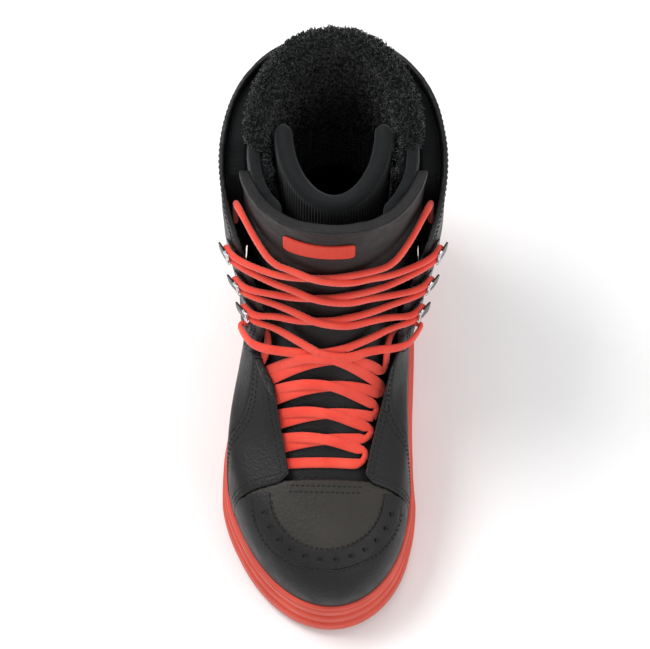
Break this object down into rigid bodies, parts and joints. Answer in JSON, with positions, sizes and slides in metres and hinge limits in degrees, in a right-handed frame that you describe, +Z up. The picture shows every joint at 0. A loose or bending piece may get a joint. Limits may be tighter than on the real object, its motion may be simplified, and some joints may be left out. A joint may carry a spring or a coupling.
{
  "type": "snowboard boot",
  "caption": "Lace-up snowboard boot for the right foot, with a cup sole, a leather lower shell, a hinging cuff with open lace hooks, and a padded liner.",
  "frame": {"origin": "middle of the boot's footprint, on the floor under the sole", "axes": "+Y towards the heel, -Y towards the toe, +X towards the inner side of a right foot, +Z up"},
  "size_m": [0.1332, 0.2966, 0.2899],
  "materials": {
    "coral_rubber": "satin",
    "midsole_foam": "matte",
    "shank_fibre": "satin",
    "board": "matte",
    "black_leather": "satin",
    "vamp_leather": "satin",
    "gusset_leather": "matte",
    "tongue_leather": "satin",
    "collar_foam": "matte",
    "liner_knit": "matte",
    "fleece": "matte",
    "footbed_cloth": "matte",
    "lace_cord": "matte",
    "patch_cloth": "matte",
    "hook_metal": "gloss",
    "rivet_metal": "polished"
  },
  "bodies": {
    "lower": {"outsole": "coral_rubber", "sidewall": "coral_rubber", "midsole": "midsole_foam", "heel_pad": "midsole_foam", "shank": "shank_fibre", "lasting_board": "board", "vamp": "vamp_leather", "toe_cap": "black_leather", "toe_band": "black_leather", "eyestay_lateral": "black_leather", "eyestay_medial": "black_leather", "side_panel_lateral": "black_leather", "side_panel_medial": "black_leather", "heel_counter": "black_leather", "heel_strip": "black_leather", "tongue_lower": "tongue_leather", "liner_foot": "liner_knit", "footbed": "footbed_cloth", "lace_instep": "lace_cord", "liner_ankle": "liner_knit", "tongue_ankle": "tongue_leather", "ankle_gusset": "gusset_leather", "cuff_hem_lateral": "black_leather", "cuff_hem_medial": "black_leather", "lace_ankle": "lace_cord"},
    "cuff": {"cuff_lateral": "black_leather", "cuff_medial": "black_leather", "backstay": "black_leather", "collar_padding": "collar_foam", "tongue_upper": "tongue_leather", "tongue_rim": "tongue_leather", "tongue_patch": "patch_cloth", "liner_cuff": "liner_knit", "fleece_lining": "fleece", "liner_tongue": "liner_knit", "lace_hooks_lateral": "hook_metal", "lace_hooks_medial": "hook_metal", "hook_rivets": "rivet_metal", "lace_shin": "lace_cord"}
  },
  "joints": [
    {"name": "cuff_flex", "type": "hinge", "parent": "lower", "child": "cuff", "pos_m": [0, 0.07, 0.118], "axis": [1, 0, 0], "range_deg": [-3, 12], "stiffness_Nm_per_rad": 60, "deforming": ["liner_ankle", "tongue_ankle", "ankle_gusset", "cuff_hem_lateral", "cuff_hem_medial", "lace_ankle"]}
  ]
}
